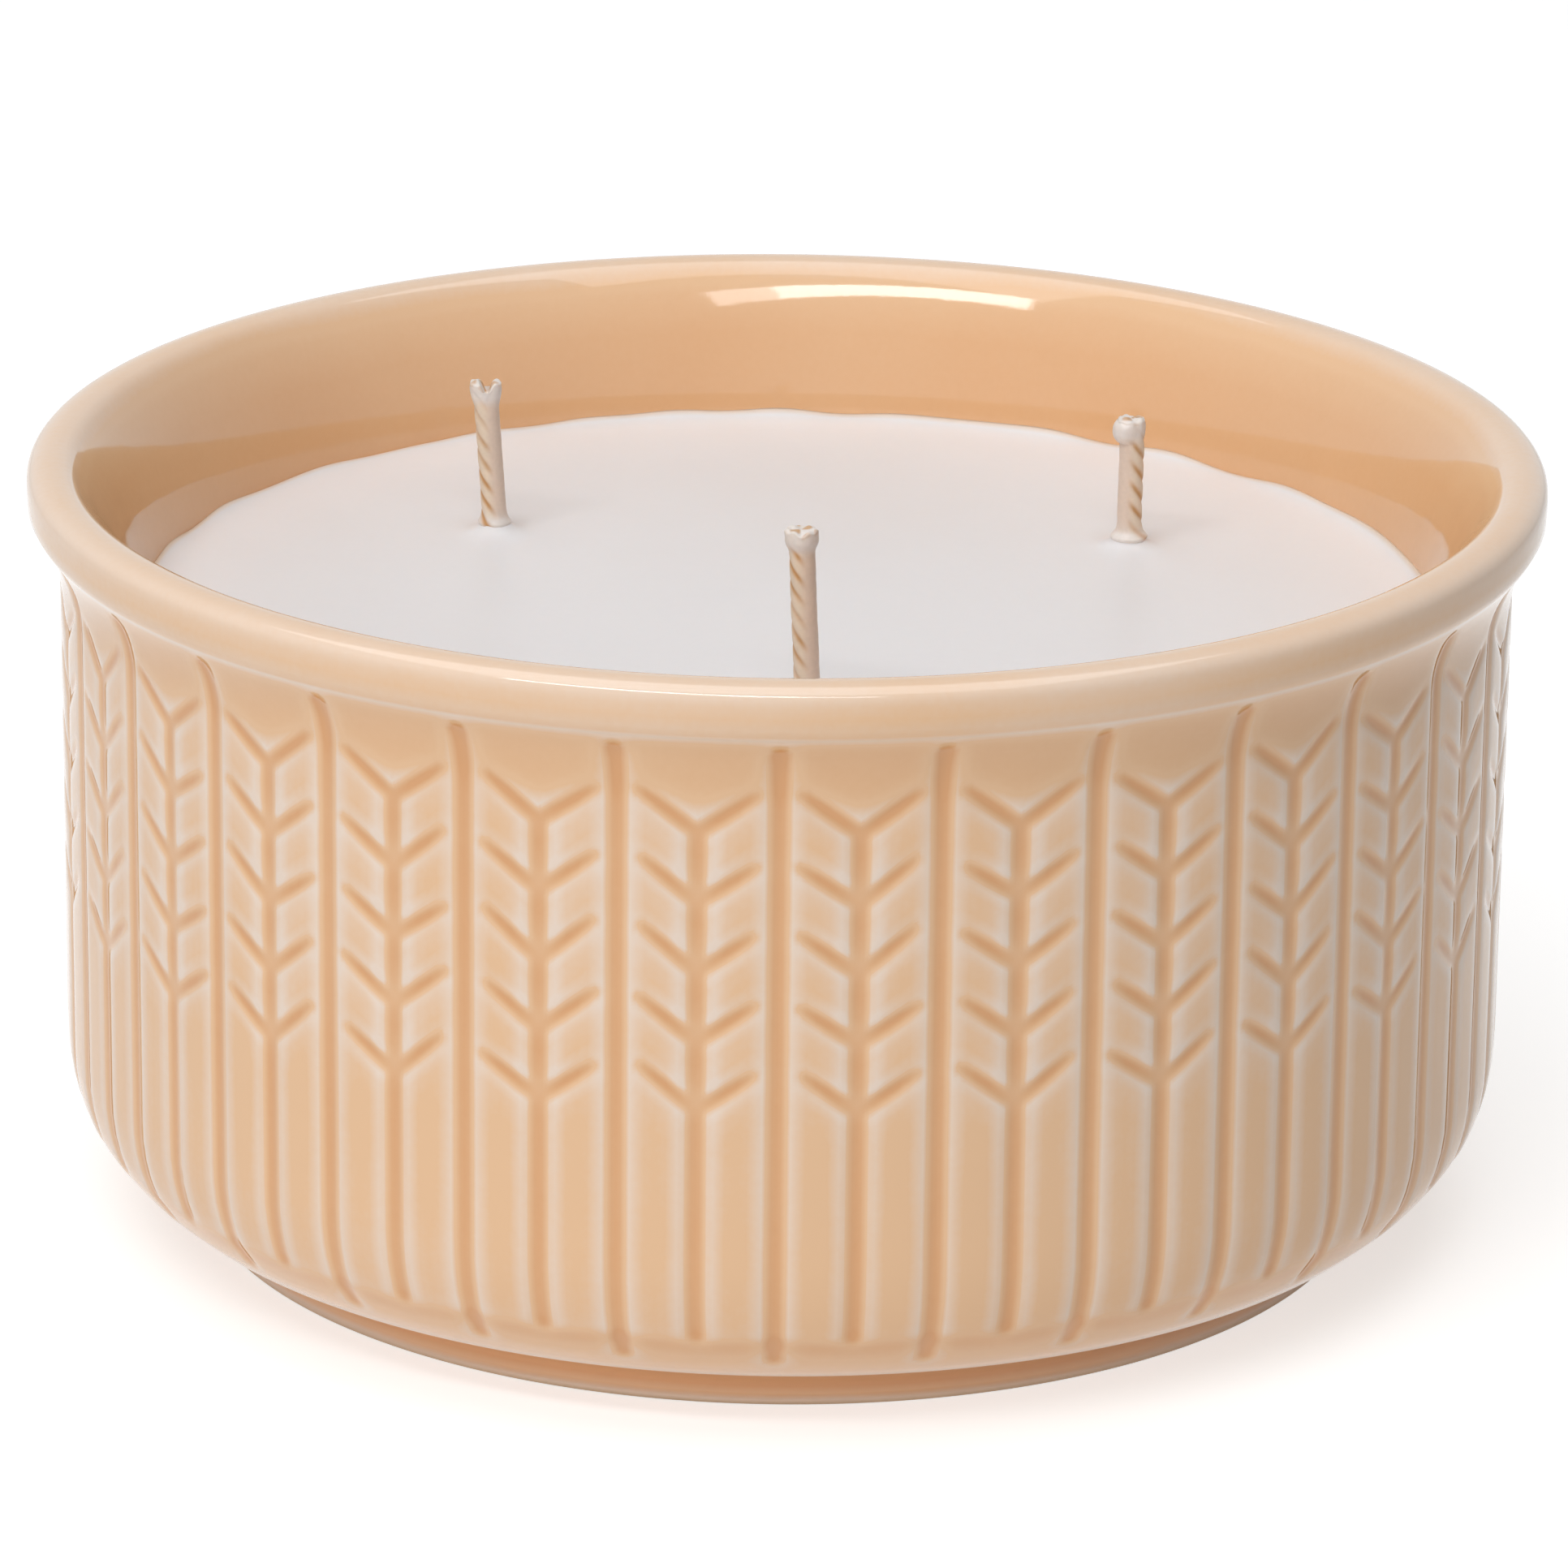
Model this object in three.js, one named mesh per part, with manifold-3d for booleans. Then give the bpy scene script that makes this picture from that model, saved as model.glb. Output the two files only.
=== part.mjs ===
// A three-wick candle: wax poured into a glazed bowl with a wheat-ear relief.
// Millimetres, +Z up, the front of the bowl towards -Y.
// The origin is the centre of the foot ring, on the surface that the bowl stands on.

import * as THREE from "three";
import { mergeVertices } from "three/addons/utils/BufferGeometryUtils.js";
import Module from "manifold-3d";

const wasm = await Module();
wasm.setup();

// Bowl, outside
const RIM_DIAMETER = 140;
const BOWL_HEIGHT = 72.1;
const CORNER_RUN = 9.1;
const CORNER_RISE = 13.1;
const NECK_RADIUS = 10.4;

// Lip: an upright outer face between two rounded edges, a domed crown and a rounded inner edge.
// The crown slopes by CROWN_SLOPE at both its ends, and the inner edge stops where its slope from
// upright has come down to INNER_EDGE_SLOPE.
const LIP_OVERHANG = 2.9;
const LIP_FACE_HEIGHT = 1.8;
const LOWER_EDGE_RADIUS = 1.4;
const UPPER_EDGE_RADIUS = 1.5;
const CROWN_RADIUS = 4;
const CROWN_SLOPE = 20;
const INNER_EDGE_RADIUS = 1.2;
const INNER_EDGE_SLOPE = 38;

// Foot ring
const FOOT_HEIGHT = 4.7;
const FOOT_DIAMETER = 110;
const FOOT_LAND = 4;
const FOOT_EDGE = 0.7;
const FOOT_HOLLOW = 3.2;

// Bowl, inside
const WALL_THICKNESS = 7.1;
const FLOOR_THICKNESS = 5.8;
const INNER_CORNER_RUN = 11;
const INNER_CORNER_RISE = 14;

// Wheat-ear relief
const EARS = 30;
const LEAF_PAIRS = 5;
const LEAF_PITCH = 6.37;
const LEAF_SPREAD = 5;
const LEAF_RISE = 3.2;
const GROOVE_WIDTH = 1.4;
const LEAF_WIDTH = 1.3;
const GROOVE_DEPTH = 0.65;
const FIRST_LEAF_BELOW_RIM = 14.1;
const DIVIDER_TOP_BELOW_RIM = 6;
const DIVIDER_FOOT = 9.4;
const STEM_FOOT = 11.4;

// Wax
const WAX_BELOW_RIM = 14.6;
const MENISCUS_RADIUS = 3.2;
const MENISCUS_HEIGHT = 0.8;
const MENISCUS_EDGE = 0.4;

// Wicks
const WICK_DIAMETER = 2.4;
const WICK_BEAD_DIAMETER = 3.2;
const WICK_BEAD_LENGTH = 2.4;

// Turn of each wick from the front towards +X, in degrees
const LEFT_WICK_TURN = -126.5;
const RIGHT_WICK_TURN = 119.7;
const FRONT_WICK_TURN = 4;

// Distance from each wick to the wall, at the wax's surface
const LEFT_WICK_TO_WALL = 25.5;
const RIGHT_WICK_TO_WALL = 22.9;
const FRONT_WICK_TO_WALL = 27.8;

// Height of each tip over the rim
const LEFT_TIP_OVER_RIM = 0.5;
const RIGHT_TIP_OVER_RIM = -1.7;
const FRONT_TIP_OVER_RIM = 2.7;

// Lean of each tip towards +X
const LEFT_WICK_LEAN = -1.1;
const RIGHT_WICK_LEAN = -0.2;
const FRONT_WICK_LEAN = -0.8;

// Wick tabs and their adhesive dots
const TAB_DIAMETER = 20;
const TAB_THICKNESS = 0.3;
const TAB_NECK_HEIGHT = 6;
const TAB_NECK_WALL = 0.35;
const STICKER_DIAMETER = 14;
const STICKER_THICKNESS = 1;

// Clearance between two pieces that touch on curved faces, and how far a cutter runs past a face
const FIT_GAP = 0.3;
const OVERCUT = 1;

// Facets round each piece
const BOWL_SIDES = 2 * EARS;
const SMALL_SIDES = 24;
const WICK_SIDES = 8;
const WICK_STEPS = 14;

const UP = new THREE.Vector3(0, 0, 1);
const MERGE_TOLERANCE = 1e-4;

// Centres of the lip's arcs, each tangent to the next
const wallRadius = RIM_DIAMETER / 2 - LIP_OVERHANG;
const crownTurn = THREE.MathUtils.degToRad(CROWN_SLOPE);
const upperEdgeR = RIM_DIAMETER / 2 - UPPER_EDGE_RADIUS;
const crown = {
  r: upperEdgeR - (CROWN_RADIUS - UPPER_EDGE_RADIUS) * Math.sin(crownTurn),
  z: BOWL_HEIGHT - CROWN_RADIUS,
};
const upperEdge = { r: upperEdgeR, z: crown.z + (CROWN_RADIUS - UPPER_EDGE_RADIUS) * Math.cos(crownTurn) };
const innerEdge = {
  r: crown.r - (CROWN_RADIUS - INNER_EDGE_RADIUS) * Math.sin(crownTurn),
  z: crown.z + (CROWN_RADIUS - INNER_EDGE_RADIUS) * Math.cos(crownTurn),
};
const lowerEdge = { r: RIM_DIAMETER / 2 - LOWER_EDGE_RADIUS, z: upperEdge.z - LIP_FACE_HEIGHT };
const neckReach = NECK_RADIUS + LOWER_EDGE_RADIUS;
const neckSide = wallRadius + NECK_RADIUS - lowerEdge.r;
const neck = {
  r: wallRadius + NECK_RADIUS,
  z: lowerEdge.z - Math.sqrt(neckReach * neckReach - neckSide * neckSide),
};

// The flare of the inner wall: one arc from the lip's inner edge down to the upright wall
const flareTurn = THREE.MathUtils.degToRad(INNER_EDGE_SLOPE);
const lowerInside = wallRadius - WALL_THICKNESS;
const flareTop = {
  r: innerEdge.r - INNER_EDGE_RADIUS * Math.cos(flareTurn),
  z: innerEdge.z + INNER_EDGE_RADIUS * Math.sin(flareTurn),
};
const flareRadius = (flareTop.r - lowerInside) / (1 - Math.cos(flareTurn));
const flare = { r: lowerInside + flareRadius, z: flareTop.z - flareRadius * Math.sin(flareTurn) };

// Heights and radii that follow from the sizes above
const cornerTop = FOOT_HEIGHT + CORNER_RISE;
const floorTop = FOOT_HOLLOW + FLOOR_THICKNESS;
const innerCornerTop = floorTop + INNER_CORNER_RISE;
const waxTop = BOWL_HEIGHT - WAX_BELOW_RIM;
const tabFloor = floorTop + STICKER_THICKNESS;
const tabTop = tabFloor + TAB_THICKNESS;
const tabNeckTop = tabTop + TAB_NECK_HEIGHT;
const wickRadius = WICK_DIAMETER / 2;
const wickHole = wickRadius + FIT_GAP;
const tabNeckRadius = wickHole + TAB_NECK_WALL;

const wicks = [
  {
    side: "left",
    turn: LEFT_WICK_TURN,
    toWall: LEFT_WICK_TO_WALL,
    tip: BOWL_HEIGHT + LEFT_TIP_OVER_RIM,
    lean: LEFT_WICK_LEAN,
  },
  {
    side: "right",
    turn: RIGHT_WICK_TURN,
    toWall: RIGHT_WICK_TO_WALL,
    tip: BOWL_HEIGHT + RIGHT_TIP_OVER_RIM,
    lean: RIGHT_WICK_LEAN,
  },
  {
    side: "front",
    turn: FRONT_WICK_TURN,
    toWall: FRONT_WICK_TO_WALL,
    tip: BOWL_HEIGHT + FRONT_TIP_OVER_RIM,
    lean: FRONT_WICK_LEAN,
  },
];

// Colours
const glaze = new THREE.MeshStandardMaterial({ color: 0xe6bd93, roughness: 0.18, metalness: 0 });
const waxWhite = new THREE.MeshStandardMaterial({ color: 0xe6deda, roughness: 0.45, metalness: 0 });
const waxedCotton = new THREE.MeshStandardMaterial({ color: 0xdcc9ac, roughness: 0.6, metalness: 0 });
const tinPlate = new THREE.MeshStandardMaterial({ color: 0xb9bbbd, roughness: 0.3, metalness: 1 });
const foamDot = new THREE.MeshStandardMaterial({ color: 0xf2f0ea, roughness: 0.9, metalness: 0 });

// A closed geometry as a solid that can be joined and cut.
function toSolid(geometry) {
  const bare = geometry.clone();
  bare.deleteAttribute("normal");
  bare.deleteAttribute("uv");
  const merged = mergeVertices(bare, MERGE_TOLERANCE);
  const corners = merged.index.array;
  const triVerts = [];
  for (let i = 0; i < corners.length; i += 3) {
    const [a, b, c] = corners.slice(i, i + 3);
    if (a !== b && b !== c && c !== a) triVerts.push(a, b, c);
  }
  const mesh = new wasm.Mesh({
    numProp: 3,
    vertProperties: new Float32Array(merged.attributes.position.array),
    triVerts: new Uint32Array(triVerts),
  });
  return new wasm.Manifold(mesh);
}

// A solid as a geometry again.
function toGeometry(solid) {
  const mesh = solid.getMesh();
  const geometry = new THREE.BufferGeometry();
  geometry.setAttribute("position", new THREE.BufferAttribute(mesh.vertProperties, 3));
  geometry.setIndex(new THREE.BufferAttribute(mesh.triVerts, 1));
  geometry.computeVertexNormals();
  return geometry;
}

// A profile of [radius, height] points turned about +Z, its first corner towards the front.
function revolve(profile, sides) {
  const points = profile.map(([r, z]) => new THREE.Vector2(r, z));
  return new THREE.LatheGeometry(points, sides).rotateX(Math.PI / 2);
}

// Points along a round arc, from one angle to another, in degrees.
function arc(centre, radius, from, to, steps) {
  return Array.from({ length: steps + 1 }, (_, i) => {
    const angle = THREE.MathUtils.degToRad(from + ((to - from) * i) / steps);
    return [centre.r + radius * Math.cos(angle), centre.z + radius * Math.sin(angle)];
  });
}

// Radius of the bowl's inside at a height under the lip: a rounded corner, an upright wall and a
// flare out to the lip.
function insideRadius(z) {
  if (z < innerCornerTop) {
    const drop = (innerCornerTop - z) / INNER_CORNER_RISE;
    return lowerInside - INNER_CORNER_RUN * (1 - Math.sqrt(Math.max(0, 1 - drop * drop)));
  }
  const rise = Math.max(0, z - flare.z);
  return flare.r - Math.sqrt(flareRadius * flareRadius - rise * rise);
}

// Heights at which the inside profile has a corner, from under the lip down to the floor.
function insideLevels() {
  const wall = [0.75, 0.5, 0.25, 0].map((share) => flare.z + flareRadius * Math.sin(share * flareTurn));
  const corner = [0, 1, 2, 3, 4].map((i) => innerCornerTop - INNER_CORNER_RISE * Math.sin((i * Math.PI) / 8));
  return [...wall, ...corner];
}

// Outside of the wall at a height over the bottom corner, straight and then along the neck.
function wallPoint(z) {
  const rise = Math.max(0, z - neck.z);
  const r = neck.r - Math.sqrt(NECK_RADIUS * NECK_RADIUS - rise * rise);
  return { r, z, normal: new THREE.Vector2(neck.r - r, -rise).normalize() };
}

// Outside of the rounded bottom corner, a quarter of an ellipse, from the wall down to the foot.
function cornerPoint(turn) {
  return {
    r: wallRadius - CORNER_RUN * (1 - Math.cos(turn)),
    z: cornerTop - CORNER_RISE * Math.sin(turn),
    normal: new THREE.Vector2(Math.cos(turn) / CORNER_RUN, -Math.sin(turn) / CORNER_RISE).normalize(),
  };
}

// Turn on the bottom corner at which it passes a height.
function cornerTurn(z) {
  return Math.asin((cornerTop - z) / CORNER_RISE);
}

// Foot ring: a hollow underneath, a flat land, an eased edge and a cove up to the body.
function footProfile() {
  const outer = FOOT_DIAMETER / 2;
  const inner = outer - FOOT_EDGE - FOOT_LAND;
  const ledge = wallRadius - CORNER_RUN;
  return [
    [0, FOOT_HOLLOW],
    [inner - FOOT_EDGE, FOOT_HOLLOW],
    [inner, 0],
    [outer - FOOT_EDGE, 0],
    [outer, FOOT_EDGE],
    [outer, FOOT_HEIGHT / 2],
    [(outer + ledge) / 2, FOOT_HEIGHT - FOOT_EDGE / 2],
  ];
}

// Neck and lip, from the wall round to the top of the flare inside.
function lipProfile() {
  const meet = THREE.MathUtils.radToDeg(Math.acos(neckSide / neckReach));
  return [
    ...arc(neck, NECK_RADIUS, 180, 180 - meet, 4),
    ...arc(lowerEdge, LOWER_EDGE_RADIUS, -meet, 0, 2).slice(1),
    ...arc(upperEdge, UPPER_EDGE_RADIUS, 0, 90 - CROWN_SLOPE, 3),
    ...arc(crown, CROWN_RADIUS, 90 - CROWN_SLOPE, 90 + CROWN_SLOPE, 2).slice(1),
    ...arc(innerEdge, INNER_EDGE_RADIUS, 90 + CROWN_SLOPE, 180 - INNER_EDGE_SLOPE, 2).slice(1),
  ];
}

function bowlProfile() {
  const corner = [4, 3, 2, 1, 0].map((i) => cornerPoint((i * Math.PI) / 8)).map(({ r, z }) => [r, z]);
  const inside = insideLevels().map((z) => [insideRadius(z), z]);
  return [...footProfile(), ...corner, ...lipProfile(), ...inside, [0, floorTop]];
}

// A cutter for one groove: diamond sections strung along a spine, which close to a point where
// a section's half width is 0. A station has its centre, a unit vector across the groove and one
// out of the wall.
function grooveCutter(stations, depth) {
  const positions = [];
  for (const { centre, across, out, half } of stations) {
    const deep = half > 0 ? depth : 0;
    for (const [side, lift] of [[1, 0], [0, 1], [-1, 0], [0, -1]]) {
      const corner = centre.clone().addScaledVector(across, side * half).addScaledVector(out, lift * deep);
      positions.push(corner.x, corner.y, corner.z);
    }
  }
  const index = [0, 1, 2, 0, 2, 3];
  const last = 4 * (stations.length - 1);
  index.push(last, last + 2, last + 1, last, last + 3, last + 2);
  for (let base = 0; base < last; base += 4) {
    for (let k = 0; k < 4; k += 1) {
      const next = (k + 1) % 4;
      index.push(base + k, base + 4 + k, base + next, base + next, base + 4 + k, base + 4 + next);
    }
  }
  const geometry = new THREE.BufferGeometry();
  geometry.setAttribute("position", new THREE.Float32BufferAttribute(positions, 3));
  geometry.setIndex(index);
  return geometry;
}

// A spine station on the front of the bowl, in the plane through the axis.
function frontStation({ r, z, normal }, lift, half) {
  const out = new THREE.Vector3(0, -normal.x, normal.y);
  const centre = new THREE.Vector3(0, -r, z).addScaledVector(out, lift);
  return { centre, across: new THREE.Vector3(1, 0, 0), out, half };
}

// An upright groove from a foot height in the bottom corner up through levels on the wall to a
// top height.
function uprightGroove(foot, levels, top) {
  const half = GROOVE_WIDTH / 2;
  const corner = [0.65, 0].map((share) => cornerPoint(share * cornerTurn(foot)));
  const full = [...corner, ...levels.map(wallPoint)].map((point) => frontStation(point, 0, half));
  const start = frontStation(cornerPoint(cornerTurn(foot)), GROOVE_DEPTH / 2, 0);
  return grooveCutter([start, ...full, frontStation(wallPoint(top), GROOVE_DEPTH, 0)], GROOVE_DEPTH);
}

// One leaf of an ear: a groove that rises from the stem, to the right or left, and fades out.
function leafGroove(z, direction) {
  const along = new THREE.Vector3(direction * LEAF_SPREAD, 0, LEAF_RISE);
  const out = new THREE.Vector3(0, -1, 0);
  const across = along.clone().normalize().cross(out);
  const tipTurn = (direction * LEAF_SPREAD) / wallRadius;
  const tip = new THREE.Vector3(0, -wallRadius, z + LEAF_RISE).applyAxisAngle(UP, tipTurn);
  return grooveCutter(
    [
      { centre: new THREE.Vector3(0, -wallRadius, z), across, out, half: LEAF_WIDTH / 2 },
      { centre: tip, across, out, half: 0 },
    ],
    GROOVE_DEPTH,
  );
}

// The bowl: a turned body, cut by the dividers, stems and leaves of the relief.
function bowlGeometry() {
  const firstLeaf = BOWL_HEIGHT - FIRST_LEAF_BELOW_RIM;
  const dividerTop = BOWL_HEIGHT - DIVIDER_TOP_BELOW_RIM;
  const onNeck = [neck.z, (neck.z + dividerTop) / 2, dividerTop - GROOVE_WIDTH];
  const divider = uprightGroove(DIVIDER_FOOT, onNeck, dividerTop);
  const ear = [uprightGroove(STEM_FOOT, [firstLeaf - GROOVE_WIDTH / 2], firstLeaf + GROOVE_WIDTH / 2)];
  for (let pair = 0; pair < LEAF_PAIRS; pair += 1) {
    const z = firstLeaf - pair * LEAF_PITCH;
    ear.push(leafGroove(z, 1), leafGroove(z, -1));
  }
  let bowl = toSolid(revolve(bowlProfile(), BOWL_SIDES));
  const unit = (2 * Math.PI) / EARS;
  for (let i = 0; i < EARS; i += 1) {
    bowl = bowl.subtract(toSolid(divider.clone().rotateZ(i * unit)));
    for (const groove of ear) bowl = bowl.subtract(toSolid(groove.clone().rotateZ((i + 0.5) * unit)));
  }
  return toGeometry(bowl);
}

// Where a wick stands on the floor.
function wickPlace({ turn, toWall }) {
  const reach = insideRadius(waxTop) - toWall;
  return new THREE.Vector3(0, -reach, 0).applyAxisAngle(UP, THREE.MathUtils.degToRad(turn));
}

// The space in the wax for one wick, its tab and its sticker, open at the floor and at the top.
function wickPocket() {
  const tabSpace = TAB_DIAMETER / 2 + FIT_GAP;
  const neckSpace = tabNeckRadius + FIT_GAP;
  const bottom = floorTop - OVERCUT;
  const top = waxTop + MENISCUS_HEIGHT + OVERCUT;
  return revolve(
    [
      [0, bottom],
      [tabSpace, bottom],
      [tabSpace, tabTop + FIT_GAP],
      [neckSpace, tabTop + FIT_GAP],
      [neckSpace, tabNeckTop + FIT_GAP],
      [wickHole, tabNeckTop + FIT_GAP],
      [wickHole, top],
      [0, top],
    ],
    SMALL_SIDES,
  );
}

// The cone of wax that has climbed up a wick.
function meniscus() {
  return revolve(
    [
      [0, waxTop - OVERCUT],
      [MENISCUS_RADIUS, waxTop - OVERCUT],
      [MENISCUS_RADIUS, waxTop],
      [wickHole + MENISCUS_EDGE, waxTop + MENISCUS_HEIGHT],
      [0, waxTop + MENISCUS_HEIGHT],
    ],
    SMALL_SIDES,
  );
}

// The wax fills the bowl to its level, and climbs a little way up each wick.
function waxGeometry() {
  const below = insideLevels().filter((z) => z < waxTop);
  const side = [waxTop, ...below].map((z) => [insideRadius(z) - FIT_GAP, z]).reverse();
  let wax = toSolid(revolve([[0, floorTop], ...side, [0, waxTop]], BOWL_SIDES));
  for (const { x, y } of wicks.map(wickPlace)) {
    wax = wax.add(toSolid(meniscus().translate(x, y, 0)));
    wax = wax.subtract(toSolid(wickPocket().translate(x, y, 0)));
  }
  return toGeometry(wax);
}

// A wick: straight up from its tab to the wax's surface, then leaning, with a bead at its tip.
function wickGeometry({ tip, lean }) {
  const beadMiddle = tip - WICK_BEAD_LENGTH / 2;
  const surface = new THREE.Vector3(0, 0, waxTop);
  const halfway = new THREE.Vector3(0.45 * lean, 0, (waxTop + tip) / 2);
  const path = new THREE.CurvePath();
  path.add(new THREE.LineCurve3(new THREE.Vector3(0, 0, tabFloor + FIT_GAP), surface));
  path.add(new THREE.QuadraticBezierCurve3(surface, halfway, new THREE.Vector3(lean, 0, beadMiddle)));
  const section = new THREE.Shape().absarc(0, 0, wickRadius, 0, 2 * Math.PI);
  const cord = new THREE.ExtrudeGeometry(section, {
    extrudePath: path,
    steps: WICK_STEPS,
    curveSegments: WICK_SIDES / 2,
  });
  const bead = new THREE.SphereGeometry(WICK_BEAD_DIAMETER / 2, WICK_SIDES, 6);
  bead.rotateX(Math.PI / 2).scale(1, 1, WICK_BEAD_LENGTH / WICK_BEAD_DIAMETER).translate(lean, 0, beadMiddle);
  return toGeometry(toSolid(cord).add(toSolid(bead)));
}

// A wick tab: a thin disc with a neck round the wick.
function tabGeometry() {
  return revolve(
    [
      [wickHole, tabFloor],
      [TAB_DIAMETER / 2, tabFloor],
      [TAB_DIAMETER / 2, tabTop],
      [tabNeckRadius, tabTop],
      [tabNeckRadius, tabNeckTop],
      [wickHole, tabNeckTop],
      [wickHole, tabFloor],
    ],
    SMALL_SIDES,
  );
}

// The adhesive dot under a tab.
function stickerGeometry() {
  const radius = STICKER_DIAMETER / 2;
  return revolve([[0, floorTop], [radius, floorTop], [radius, tabFloor], [0, tabFloor]], SMALL_SIDES);
}

function piece(name, geometry, material) {
  const mesh = new THREE.Mesh(geometry, material);
  mesh.name = name;
  return mesh;
}

const candle = new THREE.Group();
candle.add(piece("bowl", bowlGeometry(), glaze));
candle.add(piece("wax", waxGeometry(), waxWhite));
for (const wick of wicks) {
  const place = new THREE.Group();
  place.position.copy(wickPlace(wick));
  place.add(piece(`wick_${wick.side}`, wickGeometry(wick), waxedCotton));
  place.add(piece(`wick_sustainer_${wick.side}`, tabGeometry(), tinPlate));
  place.add(piece(`wick_sticker_${wick.side}`, stickerGeometry(), foamDot));
  candle.add(place);
}

export default candle;
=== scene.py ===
# Dresses a packed three-wick candle, poured in a glazed bowl with a wheat-ear relief.
# Metres, +Z up, the bowl's front towards -Y. Turns round the bowl run from the front towards +X.
import math

import bpy
import numpy as np
from bpy.props import FloatProperty, FloatVectorProperty, IntProperty, PointerProperty
from mathutils import Matrix, Vector


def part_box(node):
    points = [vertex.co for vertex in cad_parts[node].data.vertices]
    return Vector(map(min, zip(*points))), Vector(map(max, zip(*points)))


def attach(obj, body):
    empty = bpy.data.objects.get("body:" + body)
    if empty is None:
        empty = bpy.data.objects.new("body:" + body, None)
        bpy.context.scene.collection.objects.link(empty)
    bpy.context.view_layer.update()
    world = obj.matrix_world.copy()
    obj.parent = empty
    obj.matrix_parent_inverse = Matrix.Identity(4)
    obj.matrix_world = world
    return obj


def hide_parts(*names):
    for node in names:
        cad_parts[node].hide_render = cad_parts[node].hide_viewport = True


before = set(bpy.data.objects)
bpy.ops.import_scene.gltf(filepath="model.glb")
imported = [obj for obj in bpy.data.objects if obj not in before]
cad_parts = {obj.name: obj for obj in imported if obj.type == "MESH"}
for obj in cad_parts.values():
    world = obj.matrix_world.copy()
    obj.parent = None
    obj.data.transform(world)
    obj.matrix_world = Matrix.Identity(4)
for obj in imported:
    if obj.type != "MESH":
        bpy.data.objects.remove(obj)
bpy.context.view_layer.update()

BOWL_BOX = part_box("bowl")
WAX_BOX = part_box("wax")
BODY = "root"
WICK_SIDES = ("left", "right", "front")
MM = 0.001
WHITE = (1, 1, 1, 1)

bl_info = {
    "name": "Wheat-ear bowl candle",
    "version": (1, 0, 0),
    "blender": (4, 5, 0),
    "location": "3D View > Sidebar > Candle",
    "description": "Dresses a three-wick candle in a glazed relief bowl",
    "category": "Object",
}


def length(name, description, default):
    """A size in metres."""
    return FloatProperty(name=name, description=description, default=default, unit="LENGTH", precision=5)


def angle(name, description, degrees):
    """An angle, given here in degrees."""
    return FloatProperty(
        name=name, description=description, default=math.radians(degrees), subtype="ANGLE")


def share(name, description, default):
    """A share from 0 to 1."""
    return FloatProperty(
        name=name, description=description, default=default, min=0, max=1, subtype="FACTOR")


def amount(name, description, default):
    """A plain number from 0 up."""
    return FloatProperty(name=name, description=description, default=default, min=0)


def colour(name, description, default):
    """A colour in linear RGB."""
    return FloatVectorProperty(
        name=name, description=description, default=default, size=3, min=0, max=1, subtype="COLOR")


class BowlSizes(bpy.types.PropertyGroup):
    """Sizes of the bowl's section."""

    neck_radius: length("Neck radius", "Radius of the hollow that flares the wall out to the lip", 0.0104)
    lip_overhang: length("Lip overhang", "How far the lip stands out from the wall", 0.0029)
    lip_face: length("Lip face", "Height of the lip's upright face between its edges", 0.0018)
    lower_edge: length("Lower edge", "Rounding of the lip's lower edge", 0.0017)
    upper_edge: length("Upper edge", "Rounding of the lip's upper outer edge", 0.0015)
    crown_radius: length("Crown radius", "Radius of the domed top of the lip", 0.004)
    crown_slope: angle("Crown slope", "Slope at which the crown meets its edges", 20)
    inner_edge: length("Inner edge", "Rounding of the lip's inner edge", 0.0012)
    inner_edge_slope: angle("Inner edge slope", "Slope from upright at which the inner edge ends", 38)
    wall_thickness: length("Wall thickness", "Wall where it is upright inside", 0.0071)
    corner_run: length("Corner run", "Width of the rounded bottom corner", 0.0091)
    corner_rise: length("Corner rise", "Height of the rounded bottom corner", 0.0131)
    floor_thickness: length("Floor thickness", "Floor over the foot's hollow", 0.0058)
    inner_corner_run: length("Inner corner run", "Width of the inner bottom corner", 0.011)
    inner_corner_rise: length("Inner corner rise", "Height of the inner bottom corner", 0.014)
    foot_height: length("Foot height", "Height of the foot ring", 0.0047)
    foot_radius: length("Foot radius", "Outer radius of the foot ring", 0.055)
    foot_land: length("Foot land", "Width of the flat ring that the bowl stands on", 0.004)
    foot_edge: length("Foot edge", "Rounding of the foot ring's edges", 0.0005)
    foot_waist: length("Foot waist", "How far the foot ring's face is drawn in", 0.0008)
    foot_hollow: length("Foot hollow", "Depth of the hollow inside the foot ring", 0.0032)


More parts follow.
